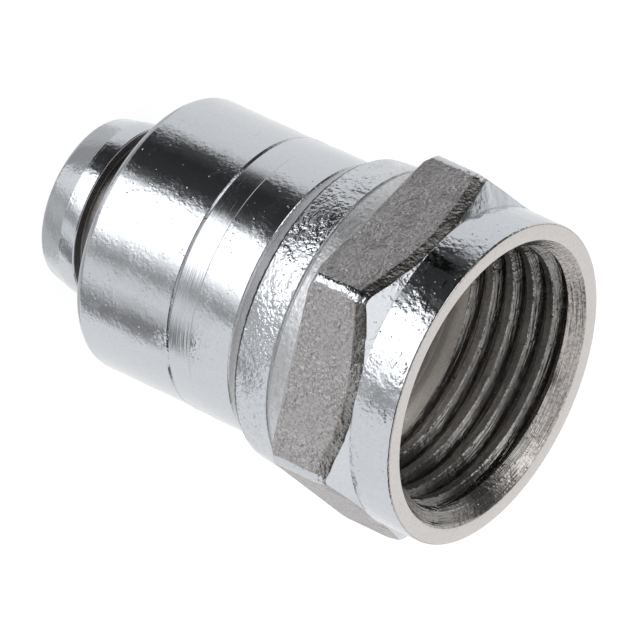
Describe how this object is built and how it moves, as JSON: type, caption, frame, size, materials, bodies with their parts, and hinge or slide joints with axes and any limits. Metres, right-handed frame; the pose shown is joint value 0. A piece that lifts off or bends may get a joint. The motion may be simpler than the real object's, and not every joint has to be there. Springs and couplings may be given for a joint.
{
  "type": "f connector",
  "caption": "Male screw-on plug for thin coaxial cable: a hexagon nut that turns freely on a plated body, and a rear ring that presses in to grip the cable.",
  "frame": {"origin": "centre of the flat rear end of the ring, on the surface that the plug stands on", "axes": "+Z along the axis of the plug, from the cable end to the mouth of the nut; one ridge of the hexagon looks along -Y"},
  "size_m": [0.011, 0.0126, 0.0161],
  "materials": {
    "nut_plating": "bright nickel on brass, faintly pebbled, flats matte",
    "body_plating": "bright nickel on turned brass",
    "ring_plating": "bright nickel on turned brass",
    "post_plating": "satin nickel on turned brass",
    "bush_plastic": "plain moulded plastic"
  },
  "bodies": {
    "plug_body": {"rear_sleeve": "body_plating", "front_body": "body_plating", "post": "post_plating"},
    "nut": {"coupling_nut": "nut_plating"},
    "ring": {"compression_ring": "ring_plating", "grip_bush": "bush_plastic"}
  },
  "joints": [
    {"name": "nut_turn", "type": "hinge", "parent": "plug_body", "child": "nut", "pos_m": [0, 0, 0.0126], "axis": [0, 0, 1], "continuous": true},
    {"name": "ring_press", "type": "slide", "parent": "plug_body", "child": "ring", "axis": [0, 0, 1], "range_m": [0, 0.00123]}
  ]
}
